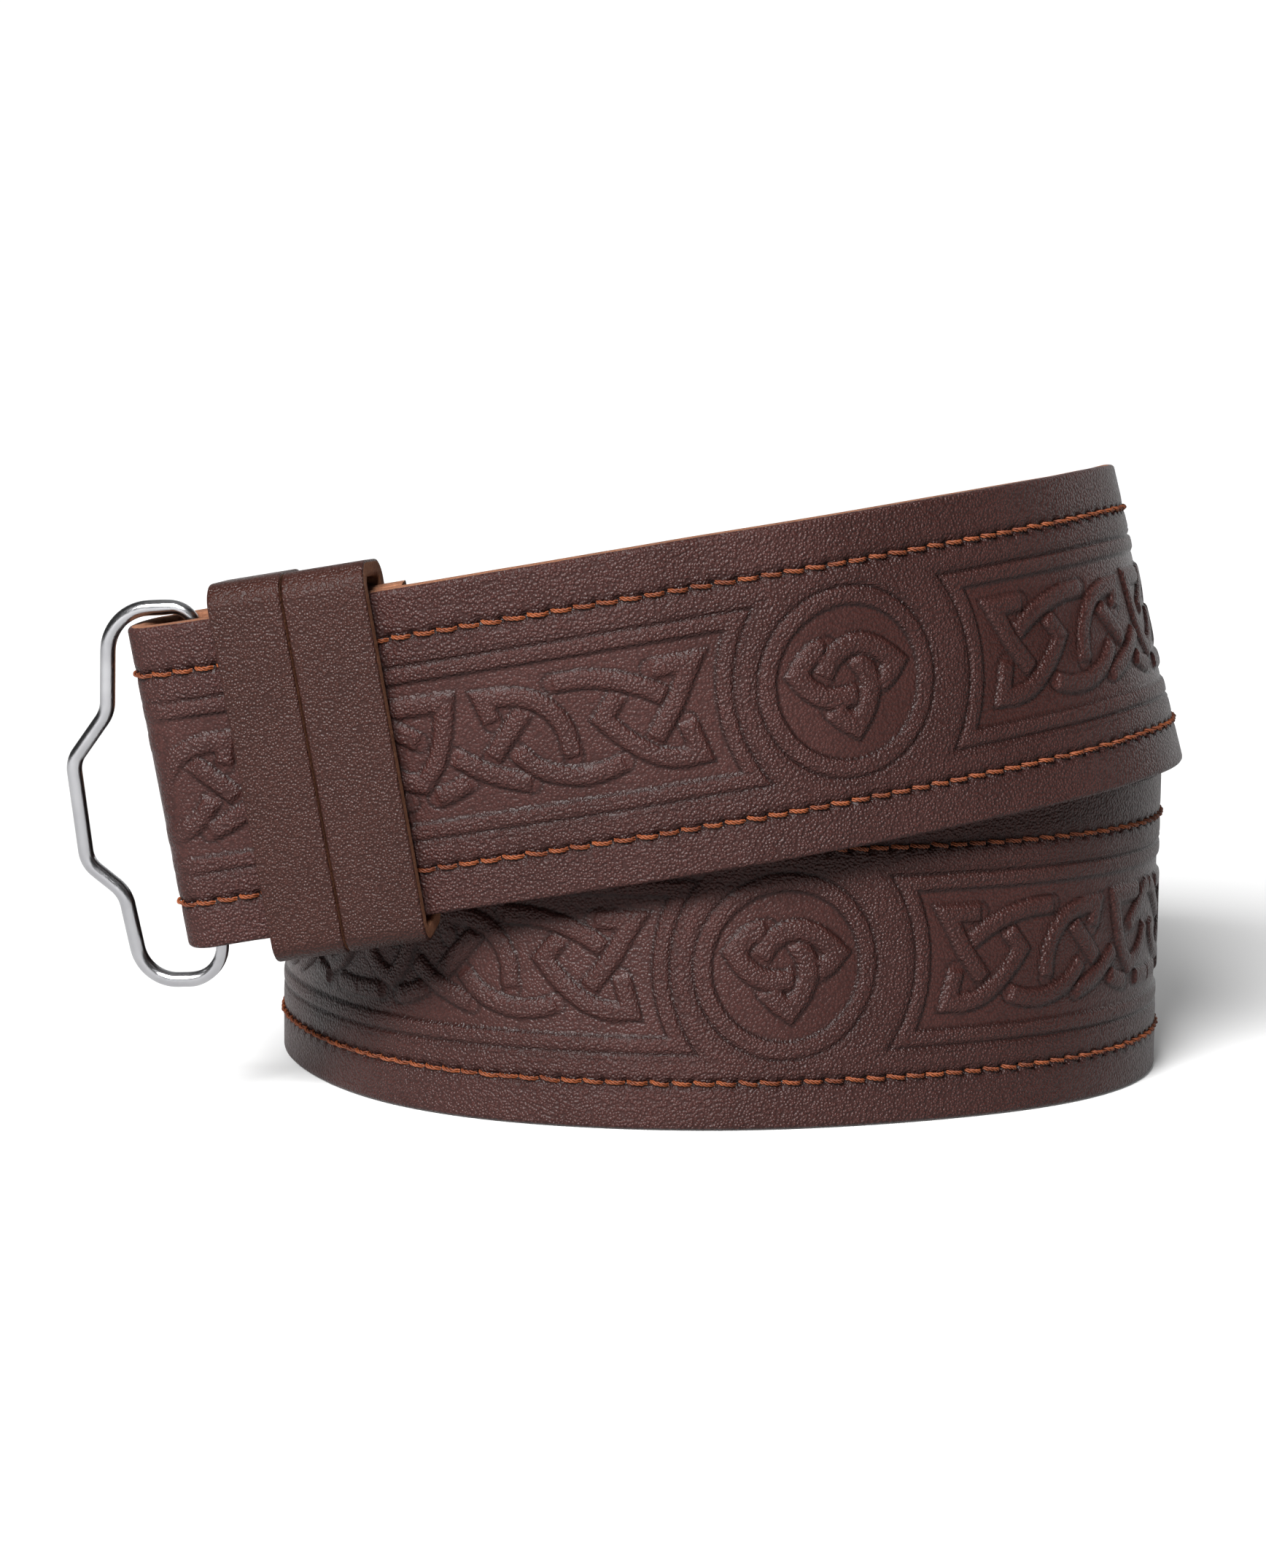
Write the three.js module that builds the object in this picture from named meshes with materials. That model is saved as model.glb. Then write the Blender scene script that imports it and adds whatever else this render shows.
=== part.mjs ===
// A wide embossed kilt belt, coiled and standing on its edge.
// Millimetres, +Z up, +X right, +Y to the back; it stands on the plane z = 0.
import * as THREE from 'three';

// Strap
const strapWidth = 57;
const strapThickness = 3.5;
const edgeRound = 0.7;
const stationStep = 6;

// Coil: the strap's outer face goes round a middle point, the belt's buckle end first
const coilRadius = 84;
const layerGap = 0.6;

// Buckle end: the strap folds back on itself round the wire loop's bar
const lapLength = 48.5;
const lapGap = 0.4;
const lapSlant = 0.05;
const pocketRoom = 1.7;
const pocketTaper = 10;
const foldSkew = 0.024;
const foldSkewEnd = 110;

// Wire loop
const wireRadius = 1.35;
const loopHeight = 66.5;
const loopReach = 24;
const loopRest = 0.5;
const barTilt = 6.4;
const barPlay = 0.95;
const barRoom = 0.4;

// Keepers
const keeperThickness = 2.8;
const keeperLeftWidth = 12.7;
const keeperRightWidth = 14.2;
const keeperGap = 0.4;
const keeperClear = 3.3;
const keeperSkew = 0.02;
const keeperTopRoom = 3.8;
const keeperBottomRoom = 1.6;
const keeperBackSideRoom = 1;
const keeperFrontRoom = 0.7;
const keeperBackRoom = 0.7;
const keeperBend = 1.2;
const keeperEdgeRound = 0.35;

// How the belt lies. turn: degrees round the coil from its front, anticlockwise from above.
// radius: share of coilRadius. layers: strap thicknesses that it stands outside the floor turn.
// rise: how high it stands above the floor, as a share of strapWidth.
// lean: degrees that its upper edge leans outwards.
const beltLie = [
  { turn: -50, radius: 1.380, layers: 3.0, rise: 0.512, lean: 7.0 },
  { turn: -45, radius: 1.283, layers: 3.0, rise: 0.552, lean: 9.8 },
  { turn: -40, radius: 1.206, layers: 3.0, rise: 0.588, lean: 10.4 },
  { turn: -35, radius: 1.145, layers: 3.0, rise: 0.622, lean: 10.4 },
  { turn: -30, radius: 1.096, layers: 3.0, rise: 0.655, lean: 10.2 },
  { turn: -20, radius: 1.055, layers: 2.5, rise: 0.713, lean: 9.2 },
  { turn: -10, radius: 1.065, layers: 1.5, rise: 0.767, lean: 7.2 },
  { turn: 0, radius: 1.062, layers: 1.0, rise: 0.818, lean: 5.1 },
  { turn: 15, radius: 1.026, layers: 1.0, rise: 0.884, lean: 2.0 },
  { turn: 30, radius: 1.001, layers: 1.0, rise: 0.942, lean: -1.8 },
  { turn: 45, radius: 0.994, layers: 1.0, rise: 0.989, lean: -6.9 },
  { turn: 60, radius: 0.986, layers: 1.0, rise: 1.023, lean: -11.9 },
  { turn: 75, radius: 0.949, layers: 1.0, rise: 1.030, lean: -15.0 },
  { turn: 90, radius: 0.898, layers: 1.0, rise: 1.005, lean: -16.0 },
  { turn: 110, radius: 0.874, layers: 1.0, rise: 0.912, lean: -17.5 },
  { turn: 135, radius: 0.874, layers: 1.0, rise: 0.754, lean: -15.0 },
  { turn: 160, radius: 0.886, layers: 1.0, rise: 0.570, lean: -8.0 },
  { turn: 180, radius: 0.904, layers: 1.0, rise: 0.412, lean: -2.0 },
  { turn: 200, radius: 0.921, layers: 1.0, rise: 0.267, lean: 2.0 },
  { turn: 225, radius: 0.966, layers: 0.5, rise: 0.110, lean: 4.0 },
  { turn: 250, radius: 0.990, layers: 0.2, rise: 0.023, lean: 2.5 },
  { turn: 270, radius: 0.994, layers: 0.0, rise: 0, lean: 0 },
  { turn: 300, radius: 1.000, layers: 0.0, rise: 0, lean: 0 },
  { turn: 315, radius: 1.020, layers: 0.0, rise: 0, lean: 0 },
  { turn: 330, radius: 1.022, layers: 0.0, rise: 0, lean: 0 },
  { turn: 345, radius: 1.002, layers: 0.0, rise: 0, lean: 0 },
  { turn: 360, radius: 0.983, layers: 0.0, rise: 0, lean: 0 },
  { turn: 375, radius: 0.968, layers: 0.0, rise: 0, lean: 0 },
  { turn: 390, radius: 0.974, layers: 0.0, rise: 0, lean: 0 },
  { turn: 410, radius: 1.015, layers: 0.0, rise: 0, lean: 0 },
  { turn: 430, radius: 1.038, layers: 0.0, rise: 0, lean: 0 },
  { turn: 445, radius: 1.028, layers: 0.0, rise: 0, lean: 0 },
  { turn: 460, radius: 1.006, layers: -0.5, rise: 0, lean: 0 },
  { turn: 480, radius: 0.965, layers: -1.0, rise: 0, lean: 0 },
  { turn: 510, radius: 0.918, layers: -1.0, rise: 0, lean: 0 },
  { turn: 540, radius: 0.918, layers: -1.0, rise: 0, lean: 0 },
  { turn: 570, radius: 0.942, layers: -1.0, rise: 0, lean: 0 },
  { turn: 600, radius: 0.954, layers: -1.0, rise: 0, lean: 0 },
  { turn: 640, radius: 0.954, layers: -1.0, rise: 0, lean: 0 },
];

// The wire loop's corners. out: share of loopReach away from the bar. up: share of half of
// loopHeight. bend: radius of the wire's middle line at the bend, in millimetres.
const loopCorners = [
  { out: 0, up: -1, bend: 6.5 },
  { out: 0, up: 1, bend: 4.2 },
  { out: 0.635, up: 1, bend: 8 },
  { out: 0.71, up: 0.46, bend: 6 },
  { out: 1, up: 0.205, bend: 5 },
  { out: 0.965, up: -0.345, bend: 5 },
  { out: 0.7, up: -0.515, bend: 6 },
  { out: 0.61, up: -1, bend: 7 },
];

const leather = (colour) =>
  new THREE.MeshStandardMaterial({ color: colour, roughness: 0.55, metalness: 0 });
const steel = new THREE.MeshStandardMaterial({ color: 0xb9b9bb, roughness: 0.22, metalness: 1 });

// Curves through a table's rows

// Slopes of the smoothest curve through the points, with free ends
function easySlopes(xs, ys) {
  const last = xs.length - 1;
  const diagonal = [];
  const right = [];
  const slopes = [];
  for (let i = 0; i <= last; i += 1) {
    const before = i > 0 ? 1 / (xs[i] - xs[i - 1]) : 0;
    const after = i < last ? 1 / (xs[i + 1] - xs[i]) : 0;
    const rise = (i > 0 ? (ys[i] - ys[i - 1]) * before ** 2 : 0)
      + (i < last ? (ys[i + 1] - ys[i]) * after ** 2 : 0);
    const pull = i > 0 ? before / diagonal[i - 1] : 0;
    diagonal.push(2 * (before + after) - pull * before);
    right.push(3 * rise - (i > 0 ? pull * right[i - 1] : 0));
  }
  for (let i = last; i >= 0; i -= 1) {
    const after = i < last ? slopes[i + 1] / (xs[i + 1] - xs[i]) : 0;
    slopes[i] = (right[i] - after) / diagonal[i];
  }
  return slopes;
}

// Slopes of a curve that never passes beyond the values of its points
function steadySlopes(xs, ys) {
  const grade = (i) => (ys[i + 1] - ys[i]) / (xs[i + 1] - xs[i]);
  return xs.map((x, i) => {
    const before = grade(Math.max(i - 1, 0));
    const after = grade(Math.min(i, xs.length - 2));
    return before * after > 0 ? (2 * before * after) / (before + after) : 0;
  });
}

function curveThrough(rows, column, slopesOf) {
  const xs = rows.map((row) => row.turn);
  const ys = rows.map((row) => row[column]);
  const slopes = slopesOf(xs, ys);
  return (x) => {
    let i = 0;
    while (i < xs.length - 2 && x > xs[i + 1]) i += 1;
    const span = xs[i + 1] - xs[i];
    const t = (x - xs[i]) / span;
    const t2 = t * t;
    const t3 = t2 * t;
    return (2 * t3 - 3 * t2 + 1) * ys[i] + (t3 - 2 * t2 + t) * span * slopes[i]
      + (3 * t2 - 2 * t3) * ys[i + 1] + (t3 - t2) * span * slopes[i + 1];
  };
}

// The strap's route: the middle of its outer face, with the directions along, across and out

const radiusShare = curveThrough(beltLie, 'radius', easySlopes);
const layerCount = curveThrough(beltLie, 'layers', steadySlopes);
const riseShare = curveThrough(beltLie, 'rise', steadySlopes);
const leanAngle = curveThrough(beltLie, 'lean', steadySlopes);

function routePoint(turn) {
  const radius = coilRadius * radiusShare(turn)
    + layerCount(turn) * (strapThickness + layerGap);
  const angle = THREE.MathUtils.degToRad(turn);
  const middle = strapWidth * (0.5 + riseShare(turn));
  return new THREE.Vector3(radius * Math.sin(angle), -radius * Math.cos(angle), middle);
}

const firstTurn = beltLie[0].turn;
const lastTurn = beltLie[beltLie.length - 1].turn;
const turnStep = 1;
const reachedAt = [0];
for (let turn = firstTurn + turnStep; turn <= lastTurn; turn += turnStep) {
  const step = routePoint(turn).distanceTo(routePoint(turn - turnStep));
  reachedAt.push(reachedAt[reachedAt.length - 1] + step);
}
const routeLength = reachedAt[reachedAt.length - 1];

function turnAfter(distance) {
  let i = 0;
  while (i < reachedAt.length - 2 && distance > reachedAt[i + 1]) i += 1;
  const share = (distance - reachedAt[i]) / (reachedAt[i + 1] - reachedAt[i]);
  return firstTurn + (i + share) * turnStep;
}

function routeFrame(distance) {
  const turn = turnAfter(distance);
  const point = routePoint(turn);
  const along = routePoint(turn + turnStep / 2).sub(routePoint(turn - turnStep / 2)).normalize();
  const level = new THREE.Vector3(along.y, -along.x, 0).normalize();
  const upright = new THREE.Vector3().crossVectors(level, along);
  const lean = THREE.MathUtils.degToRad(leanAngle(turn));
  const skew = foldSkew * (1 - THREE.MathUtils.smoothstep(distance, 0, foldSkewEnd));
  const across = upright.clone().multiplyScalar(Math.cos(lean))
    .addScaledVector(level, Math.sin(lean)).addScaledVector(along, skew);
  const out = level.clone().multiplyScalar(Math.cos(lean))
    .addScaledVector(upright, -Math.sin(lean));
  return { point, along, across, out };
}

// Rings of points joined into closed bodies

// A rectangle with rounded corners: u from side to side, w from the outer face inwards
function roundedSection(width, depth, round, stepsPerCorner) {
  const points = [];
  const corners = [
    { u: width / 2 - round, w: round, from: -90 },
    { u: width / 2 - round, w: depth - round, from: 0 },
    { u: -width / 2 + round, w: depth - round, from: 90 },
    { u: -width / 2 + round, w: round, from: 180 },
  ];
  for (const corner of corners) {
    for (let i = 0; i <= stepsPerCorner; i += 1) {
      const angle = THREE.MathUtils.degToRad(corner.from + (90 * i) / stepsPerCorner);
      points.push({
        u: corner.u + round * Math.cos(angle),
        w: corner.w + round * Math.sin(angle),
      });
    }
  }
  return points;
}

function signedVolume(corners, faces) {
  return faces.reduce((sum, [a, b, c]) => {
    const cross = new THREE.Vector3().crossVectors(corners[b], corners[c]);
    return sum + corners[a].dot(cross) / 6;
  }, 0);
}

// Joins rings that hold the same number of points, into a bar with two ends or into a loop
function loft(rings, isLoop) {
  const size = rings[0].length;
  const corners = rings.flat();
  const faces = [];
  const spans = isLoop ? rings.length : rings.length - 1;
  for (let i = 0; i < spans; i += 1) {
    const here = i * size;
    const next = ((i + 1) % rings.length) * size;
    for (let j = 0; j < size; j += 1) {
      const k = (j + 1) % size;
      faces.push([here + j, here + k, next + k], [here + j, next + k, next + j]);
    }
  }
  if (!isLoop) {
    const end = (rings.length - 1) * size;
    for (let j = 1; j < size - 1; j += 1) {
      faces.push([0, j + 1, j], [end, end + j, end + j + 1]);
    }
  }
  const isInsideOut = signedVolume(corners, faces) < 0;
  const geometry = new THREE.BufferGeometry();
  const positions = corners.flatMap((corner) => corner.toArray());
  geometry.setAttribute('position', new THREE.Float32BufferAttribute(positions, 3));
  geometry.setIndex(faces.flatMap(([a, b, c]) => (isInsideOut ? [a, c, b] : [a, b, c])));
  geometry.computeVertexNormals();
  return geometry;
}

function named(name, geometry, material) {
  const mesh = new THREE.Mesh(geometry, material);
  mesh.name = name;
  return mesh;
}

// The folded buckle end

const pocketHeight = 2 * wireRadius + pocketRoom;
const noseRadius = strapThickness + pocketHeight / 2;
const barSway = (strapWidth / 2) * Math.tan(THREE.MathUtils.degToRad(barTilt));
const barMiddle = strapThickness + barPlay + wireRadius + barSway;
const pocketEnd = barMiddle + barSway + wireRadius + barRoom;

// From the strap's outer face to the folded-back layer's outer face
function lapDepth(distance) {
  const closing = THREE.MathUtils.smoothstep(distance, pocketEnd, pocketEnd + pocketTaper);
  return 2 * strapThickness + pocketHeight + (lapGap - pocketHeight) * closing;
}

function lapStation(distance) {
  const { point, along, across, out } = routeFrame(distance);
  const slope = lapDepth(distance + 0.5) - lapDepth(distance - 0.5);
  const face = out.clone().negate().addScaledVector(along, -slope).normalize();
  const slant = lapSlant * ((distance - noseRadius) / (lapLength - noseRadius));
  return {
    point: point.addScaledVector(out, -lapDepth(distance)),
    across: across.clone().addScaledVector(along, slant),
    face,
  };
}

function noseStation(angle) {
  const { point, along, across, out } = routeFrame(noseRadius);
  const face = out.clone().multiplyScalar(Math.cos(angle)).addScaledVector(along, -Math.sin(angle));
  const middle = point.addScaledVector(out, -noseRadius);
  return { point: middle.addScaledVector(face, noseRadius), across, face };
}

function faceStation(distance) {
  const { point, across, out } = routeFrame(distance);
  return { point, across, face: out };
}

// Strap: the folded-back layer, the nose round the bar, then the whole coil to its cut tail
function strap() {
  const stations = [];
  const lapSteps = Math.round((lapLength - noseRadius) / (stationStep / 2));
  for (let i = 0; i < lapSteps; i += 1) {
    stations.push(lapStation(lapLength - ((lapLength - noseRadius) * i) / lapSteps));
  }
  const noseSteps = 10;
  for (let i = 0; i < noseSteps; i += 1) {
    stations.push(noseStation(Math.PI * (1 - i / noseSteps)));
  }
  const faceLength = routeLength - noseRadius;
  const faceSteps = Math.round(faceLength / stationStep);
  for (let i = 0; i <= faceSteps; i += 1) {
    stations.push(faceStation(noseRadius + (faceLength * i) / faceSteps));
  }
  const section = roundedSection(strapWidth, strapThickness, edgeRound, 2);
  const rings = stations.map(({ point, across, face }) => section.map(({ u, w }) =>
    point.clone().addScaledVector(across, u).addScaledVector(face, -w)));
  return named('strap', loft(rings, false), leather(0x3d2622));
}

// A round of straight runs and arcs through corner points in a plane, as points with directions
function roundedRound(corners, stepsPerBend, stepsPerRun) {
  const spots = [];
  const count = corners.length;
  for (let i = 0; i < count; i += 1) {
    const here = corners[i];
    const toBack = corners[(i + count - 1) % count].at.clone().sub(here.at).normalize();
    const toNext = corners[(i + 1) % count].at.clone().sub(here.at).normalize();
    const half = Math.acos(THREE.MathUtils.clamp(toBack.dot(toNext), -1, 1)) / 2;
    const middle = toBack.clone().add(toNext).normalize()
      .multiplyScalar(here.bend / Math.sin(half)).add(here.at);
    const start = here.at.clone().addScaledVector(toBack, here.bend / Math.tan(half)).sub(middle);
    const side = Math.sign(toBack.cross(toNext));
    const sweep = -side * (Math.PI - 2 * half);
    for (let j = 0; j <= stepsPerBend; j += 1) {
      const spoke = start.clone().rotateAround(new THREE.Vector2(), (sweep * j) / stepsPerBend);
      const normal = spoke.clone().normalize().multiplyScalar(-side);
      spots.push({ at: spoke.add(middle), normal });
    }
  }
  const round = [];
  spots.forEach((spot, i) => {
    const next = spots[(i + 1) % spots.length];
    round.push(spot);
    const isRun = (i + 1) % (stepsPerBend + 1) === 0;
    for (let j = 1; isRun && j < stepsPerRun; j += 1) {
      round.push({ at: spot.at.clone().lerp(next.at, j / stepsPerRun), normal: spot.normal });
    }
  });
  return round;
}

// Wire loop: a bent rod whose straight side is the bar inside the fold
function buckleLoop() {
  const { point, along, across, out } = routeFrame(barMiddle);
  const tilt = THREE.MathUtils.degToRad(barTilt);
  const up = across.clone().multiplyScalar(Math.cos(tilt)).addScaledVector(along, Math.sin(tilt));
  const away = along.clone().multiplyScalar(-Math.cos(tilt)).addScaledVector(across, Math.sin(tilt));
  const drop = loopHeight / 2 - (strapWidth / 2 + wireRadius + loopRest);
  const middle = point.addScaledVector(out, -noseRadius).addScaledVector(up, -drop);
  const corners = loopCorners.map((corner) => ({
    at: new THREE.Vector2(corner.out * loopReach, (corner.up * loopHeight) / 2),
    bend: corner.bend,
  }));
  const sides = 12;
  const rings = roundedRound(corners, 6, 2).map(({ at, normal }) => {
    const centre = middle.clone().addScaledVector(away, at.x).addScaledVector(up, at.y);
    const flat = away.clone().multiplyScalar(normal.x).addScaledVector(up, normal.y);
    return Array.from({ length: sides }, (_, i) => {
      const angle = (2 * Math.PI * i) / sides;
      return centre.clone().addScaledVector(flat, wireRadius * Math.cos(angle))
        .addScaledVector(out, wireRadius * Math.sin(angle));
    });
  });
  return named('buckle_loop', loft(rings, true), steel);
}

const keeperLeftStart = pocketEnd + keeperClear;
const keeperSeam = keeperLeftStart + keeperLeftWidth + keeperGap / 2;

// Keeper: a closed leather band round the strap and its folded-back layer. The two lie
// square to the strap where they meet, and start is counted from there.
function keeper(name, start, width) {
  const { point, along, across, out } = routeFrame(keeperSeam);
  point.addScaledVector(along, start + width / 2);
  across.addScaledVector(along, keeperSkew);
  const thickest = lapDepth(keeperSeam + start);
  const front = keeperFrontRoom + keeperThickness;
  const back = -(thickest + keeperBackRoom + keeperThickness);
  const edge = strapWidth / 2 + keeperThickness;
  const top = edge + keeperTopRoom;
  const bottom = -(edge + keeperBottomRoom);
  const backSide = edge + keeperBackSideRoom;
  const bend = keeperBend + keeperThickness;
  const corners = [[top, front], [bottom, front], [-backSide, back], [backSide, back]]
    .map(([u, n]) => ({ at: new THREE.Vector2(u, n), bend }));
  const section = roundedSection(width, keeperThickness, keeperEdgeRound, 1);
  const rings = roundedRound(corners, 5, 2).map(({ at, normal }) => {
    const centre = point.clone().addScaledVector(across, at.x).addScaledVector(out, at.y);
    const outward = across.clone().multiplyScalar(normal.x).addScaledVector(out, normal.y);
    return section.map(({ u, w }) =>
      centre.clone().addScaledVector(along, u).addScaledVector(outward, -w));
  });
  return named(name, loft(rings, true), leather(0x40291f));
}

// The belt, standing over the middle of its own outline

const belt = new THREE.Group();
belt.name = 'kilt_belt';
belt.add(
  strap(),
  buckleLoop(),
  keeper('keeper_left', -keeperGap / 2 - keeperLeftWidth, keeperLeftWidth),
  keeper('keeper_right', keeperGap / 2, keeperRightWidth),
);
const outline = new THREE.Box3().setFromObject(belt, true);
const middle = outline.getCenter(new THREE.Vector3());
belt.position.set(-middle.x, -middle.y, -outline.min.z);
belt.updateMatrixWorld(true);

export default belt;
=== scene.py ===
"""A wide embossed kilt belt, coiled and standing on its edge, dressed around its solids."""

import math

import bpy
import numpy as np
from mathutils import Euler, Matrix, Vector


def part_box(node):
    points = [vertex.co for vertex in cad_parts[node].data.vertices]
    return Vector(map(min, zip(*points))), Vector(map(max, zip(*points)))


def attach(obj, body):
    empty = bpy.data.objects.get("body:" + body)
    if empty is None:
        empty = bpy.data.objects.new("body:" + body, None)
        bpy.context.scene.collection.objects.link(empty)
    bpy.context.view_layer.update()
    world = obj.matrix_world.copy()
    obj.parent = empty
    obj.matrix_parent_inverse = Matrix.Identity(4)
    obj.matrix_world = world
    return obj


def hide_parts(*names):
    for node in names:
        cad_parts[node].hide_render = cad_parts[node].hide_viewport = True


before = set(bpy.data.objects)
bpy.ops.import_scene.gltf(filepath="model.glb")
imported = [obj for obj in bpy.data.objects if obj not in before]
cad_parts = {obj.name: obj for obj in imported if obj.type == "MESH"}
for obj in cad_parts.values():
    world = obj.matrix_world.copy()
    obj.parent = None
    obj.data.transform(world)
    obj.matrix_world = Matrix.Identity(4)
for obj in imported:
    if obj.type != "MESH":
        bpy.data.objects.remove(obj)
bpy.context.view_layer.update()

MM = 0.001

# Sizes in millimetres, as the solids have them

STRAP_WIDTH = 57.0
STRAP_THICKNESS = 3.5
EDGE_ROUND = 0.7
COIL_RADIUS = 84.0
LAYER_GAP = 0.6
LAP_LENGTH = 48.5
LAP_GAP = 0.4
LAP_SLANT = 0.05
POCKET_ROOM = 1.7
POCKET_TAPER = 10.0
FOLD_SKEW = 0.024
FOLD_SKEW_END = 110.0
WIRE_RADIUS = 1.35
LOOP_HEIGHT = 66.5
LOOP_REACH = 24.0
LOOP_REST = 0.5
# The bar in the fold is a little slimmer here than in the solids, so that it turns freely
BAR_SLIMMER = 0.2
BAR_SLIM_END = 2
BAR_FULL_START = 6
BAR_TILT = math.radians(6.4)
BAR_PLAY = 0.95
BAR_ROOM = 0.4
KEEPER_THICKNESS = 2.8
KEEPER_LEFT_WIDTH = 12.7
KEEPER_RIGHT_WIDTH = 14.2
KEEPER_GAP = 0.4
KEEPER_CLEAR = 3.3
KEEPER_SKEW = 0.02
KEEPER_TOP_ROOM = 3.8
KEEPER_BOTTOM_ROOM = 1.6
KEEPER_BACK_SIDE_ROOM = 1.0
KEEPER_FRONT_ROOM = 0.7
KEEPER_BACK_ROOM = 0.7
KEEPER_BEND = 1.2
KEEPER_EDGE_ROUND = 0.35

# How the belt lies: turn in degrees, radius share, layers outside, rise share, lean in degrees
BELT_LIE = np.array([
    (-50, 1.380, 3.0, 0.512, 7.0),
    (-45, 1.283, 3.0, 0.552, 9.8),
    (-40, 1.206, 3.0, 0.588, 10.4),
    (-35, 1.145, 3.0, 0.622, 10.4),
    (-30, 1.096, 3.0, 0.655, 10.2),
    (-20, 1.055, 2.5, 0.713, 9.2),
    (-10, 1.065, 1.5, 0.767, 7.2),
    (0, 1.062, 1.0, 0.818, 5.1),
    (15, 1.026, 1.0, 0.884, 2.0),
    (30, 1.001, 1.0, 0.942, -1.8),
    (45, 0.994, 1.0, 0.989, -6.9),
    (60, 0.986, 1.0, 1.023, -11.9),
    (75, 0.949, 1.0, 1.030, -15.0),
    (90, 0.898, 1.0, 1.005, -16.0),
    (110, 0.874, 1.0, 0.912, -17.5),
    (135, 0.874, 1.0, 0.754, -15.0),
    (160, 0.886, 1.0, 0.570, -8.0),
    (180, 0.904, 1.0, 0.412, -2.0),
    (200, 0.921, 1.0, 0.267, 2.0),
    (225, 0.966, 0.5, 0.110, 4.0),
    (250, 0.990, 0.2, 0.023, 2.5),
    (270, 0.994, 0.0, 0.0, 0.0),
    (300, 1.000, 0.0, 0.0, 0.0),
    (315, 1.020, 0.0, 0.0, 0.0),
    (330, 1.022, 0.0, 0.0, 0.0),
    (345, 1.002, 0.0, 0.0, 0.0),
    (360, 0.983, 0.0, 0.0, 0.0),
    (375, 0.968, 0.0, 0.0, 0.0),
    (390, 0.974, 0.0, 0.0, 0.0),
    (410, 1.015, 0.0, 0.0, 0.0),
    (430, 1.038, 0.0, 0.0, 0.0),
    (445, 1.028, 0.0, 0.0, 0.0),
    (460, 1.006, -0.5, 0.0, 0.0),
    (480, 0.965, -1.0, 0.0, 0.0),
    (510, 0.918, -1.0, 0.0, 0.0),
    (540, 0.918, -1.0, 0.0, 0.0),
    (570, 0.942, -1.0, 0.0, 0.0),
    (600, 0.954, -1.0, 0.0, 0.0),
    (640, 0.954, -1.0, 0.0, 0.0),
])

# The wire loop's corners: share of the reach, share of half the height, radius of the bend
LOOP_CORNERS = [
    (0.0, -1.0, 6.5),
    (0.0, 1.0, 4.2),
    (0.635, 1.0, 8.0),
    (0.71, 0.46, 6.0),
    (1.0, 0.205, 5.0),
    (0.965, -0.345, 5.0),
    (0.7, -0.515, 6.0),
    (0.61, -1.0, 7.0),
]

# The pressed ornament: one roundel and one framed panel in turn, along the strap's outer face

ORNAMENT_PERIOD = 173.8
FIRST_ROUNDEL = 122.8
PANEL_AFTER = 24.0
PANEL_BEFORE = 20.6
PANEL_HALF = (ORNAMENT_PERIOD - PANEL_AFTER - PANEL_BEFORE) / 2
PANEL_SIDE = 15.3
PANEL_END_ARC = 26.0
BAND_WIDTH = 2.8
ROUNDEL_OUTER = 16.5
ROUNDEL_INNER = 13.4
FIELD_DEPTH = 0.5
GROOVE_DEPTH = 0.5
CORD_HALF = 1.68
KNOT_HALF = 1.9
OUTLINE_WIDTH = 0.26
END_ROUND = 0.6
CORD_FULLNESS = 2.8
OUTLINE_OFF = 0.1
LINE_WIDTH = 0.3
FIELD_RIM = 0.12
WALL_START = -0.15
WALL_END = 0.4
UNDER_LENGTH = 2.6
FAR_OFF = 9.0
CROSSING_GAP = 0.4

# Round the fold the leather is stretched: the ornament fades, and comes back past the fold
FOLD_FADE_START = -14.0
FOLD_FADE_FULL = -9.0
FOLD_LINES_START = 0.0
FOLD_LINES_END = 11.0
FOLD_STRETCH = 0.85

# Cords of half a panel, counted from its end. Each is a list of smooth runs that meet in corners.
PANEL_CORDS = [
    [[(13.2, 8.0), (6.2, 8.0)], [(6.2, 8.0), (8.2, 4.6), (9.9, 1.5), (12.2, -1.6), (14.1, -4.0)]],
    [[(8.3, -2.0), (7.5, -4.9), (6.7, -7.9)],
     [(6.7, -7.9), (10.3, -8.0), (13.9, -7.0), (17.2, -4.8), (20.2, -1.9), (22.4, 0.8)],
     [(22.4, 0.8), (19.4, 4.3)]],
    [[(11.4, 3.0), (15.1, 5.2), (19.5, 7.0), (24.0, 8.0), (29.7, 8.3)]],
    [[(40.9, 3.2), (42.0, 7.3)],
     [(42.0, 7.3), (37.3, 7.1), (33.5, 5.9), (30.7, 3.5), (28.9, 0.0), (28.3, -4.8)]],
    [[(35.3, 4.3), (42.0, -2.8)]],
    [[(37.6, -2.7), (34.6, -5.8), (31.1, -7.5), (26.6, -8.4), (22.5, -7.9), (20.0, -7.0)]],
    [[(48.2, -1.7), (44.4, -4.7), (40.0, -6.9), (36.2, -8.2)]],
    [[(58.3, 8.0), (48.4, 8.0)],
     [(48.4, 8.0), (49.1, 4.9), (50.2, 0.9), (51.8, -2.4), (54.6, -5.6)],
     [(54.6, -5.6), (58.2, -4.2), (61.0, -1.5), (62.4, 1.4)]],
    [[(46.8, -6.4), (49.6, -7.6), (52.6, -8.3)]],
    [[(57.6, -8.3), (64.6, -8.5)]],
    [[(54.0, 1.8), (58.3, 4.9), (61.6, 7.5), (64.6, 8.5)]],
]

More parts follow.
